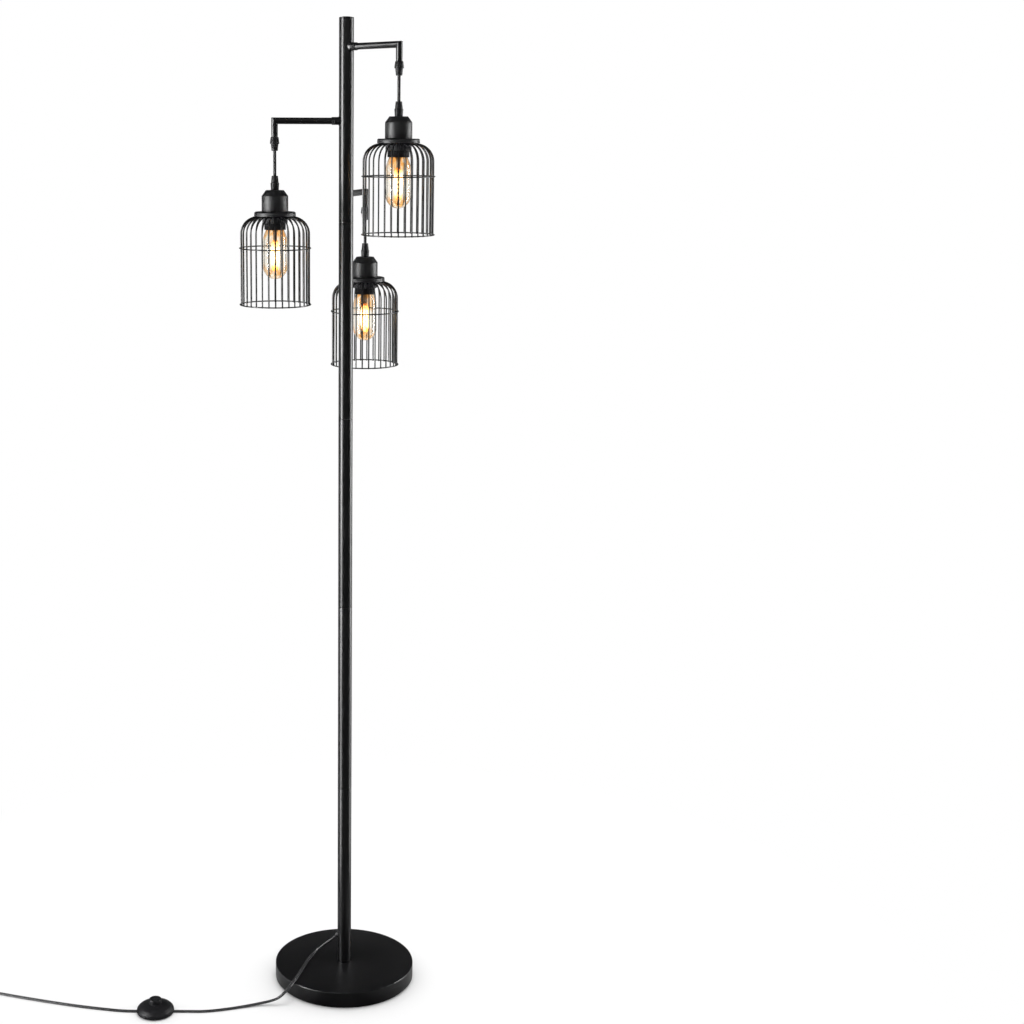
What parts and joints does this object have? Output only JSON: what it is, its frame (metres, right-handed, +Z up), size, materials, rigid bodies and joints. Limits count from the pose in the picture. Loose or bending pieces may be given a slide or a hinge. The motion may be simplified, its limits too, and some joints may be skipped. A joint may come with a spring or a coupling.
{
  "type": "wire cage floor lamp",
  "caption": "Floor lamp with a round weighted base, a sectioned pole and short arms that hang wire cage pendants, and a foot switch on its cord.",
  "frame": {"origin": "on the floor under the pole's axis, at the centre of the round base", "axes": "+Z up along the pole, -Y towards the camera of the picture, +X to the right in the picture"},
  "size_m": [0.8787, 0.3542, 1.7325],
  "materials": {
    "black_steel": "satin black powder coat",
    "black_plastic": "matte black",
    "black_rubber": "matte black",
    "black_flex": "black flexible cable sheath",
    "zinc_steel": "bright zinc plated",
    "concrete": "cast concrete ballast",
    "brass": "plain",
    "bulb_brass": "nickelled screw shell",
    "amber_glass": "clear amber-tinted glass",
    "filament": "glass stem with warm filament strands"
  },
  "bodies": {
    "stand": {"base_cover": "black_steel", "base_weight": "concrete", "base_pad": "black_rubber", "foot_bolt": "zinc_steel", "pole_couplers": "zinc_steel", "pole_cap": "black_steel", "cord_bush": "black_plastic", "arm_collars": "black_steel", "arm_nipples": "zinc_steel", "wiring_harness": "black_flex", "power_cord_1": "black_flex", "power_cord_2": "black_flex", "cord_coil": "black_flex", "plug_body": "black_plastic", "plug_blades": "brass", "switch_base": "black_plastic", "switch_cover": "black_plastic", "switch_latch": "black_plastic", "pole_section_1": "black_steel", "pole_section_2": "black_steel", "pole_section_3": "black_steel", "pole_section_4": "black_steel", "pole_section_5": "black_steel", "arm_1": "black_steel", "arm_2": "black_steel", "arm_3": "black_steel", "arm_grip_1": "black_plastic", "arm_grip_2": "black_plastic", "arm_grip_3": "black_plastic"},
    "cord_1": {"pendant_cord_1": "black_flex"},
    "pendant_1": {"cap_grip_1": "black_plastic", "socket_cup_1": "black_steel", "lampholder_1": "black_plastic", "shade_ring_1": "black_plastic", "cage_plate_1": "black_steel", "cage_1": "black_steel", "bulb_glass_1": "amber_glass", "bulb_base_1": "bulb_brass", "bulb_filament_1": "filament"},
    "cord_2": {"pendant_cord_2": "black_flex"},
    "pendant_2": {"cap_grip_2": "black_plastic", "socket_cup_2": "black_steel", "lampholder_2": "black_plastic", "shade_ring_2": "black_plastic", "cage_plate_2": "black_steel", "cage_2": "black_steel", "bulb_glass_2": "amber_glass", "bulb_base_2": "bulb_brass", "bulb_filament_2": "filament"},
    "cord_3": {"pendant_cord_3": "black_flex"},
    "pendant_3": {"cap_grip_3": "black_plastic", "socket_cup_3": "black_steel", "lampholder_3": "black_plastic", "shade_ring_3": "black_plastic", "cage_plate_3": "black_steel", "cage_3": "black_steel", "bulb_glass_3": "amber_glass", "bulb_base_3": "bulb_brass", "bulb_filament_3": "filament"},
    "switch_button": {"switch_button": "black_plastic"}
  },
  "joints": [
    {"name": "swing_1", "type": "hinge", "parent": "stand", "child": "cord_1", "pos_m": [0.08614, -0.0892, 1.6363], "axis": [0.7193, 0.6947, 0], "range_deg": [-10, 10]},
    {"name": "tilt_1", "type": "hinge", "parent": "cord_1", "child": "pendant_1", "pos_m": [0.08614, -0.0892, 1.5888], "axis": [0.6947, -0.7193, 0], "range_deg": [-10, 10]},
    {"name": "swing_2", "type": "hinge", "parent": "stand", "child": "cord_2", "pos_m": [-0.12032, -0.03, 1.5138], "axis": [0.2419, -0.9703, 0], "range_deg": [-10, 10]},
    {"name": "tilt_2", "type": "hinge", "parent": "cord_2", "child": "pendant_2", "pos_m": [-0.12032, -0.03, 1.4663], "axis": [-0.9703, -0.2419, 0], "range_deg": [-10, 10]},
    {"name": "swing_3", "type": "hinge", "parent": "stand", "child": "cord_3", "pos_m": [0.03418, 0.1192, 1.3913], "axis": [-0.9613, 0.2756, 0], "range_deg": [-10, 10]},
    {"name": "tilt_3", "type": "hinge", "parent": "cord_3", "child": "pendant_3", "pos_m": [0.03418, 0.1192, 1.3438], "axis": [0.2756, 0.9613, 0], "range_deg": [-10, 10]},
    {"name": "switch_press", "type": "slide", "parent": "stand", "child": "switch_button", "axis": [0, 0, -1], "range_m": [0, 0.003], "stiffness_N_per_m": 400}
  ]
}
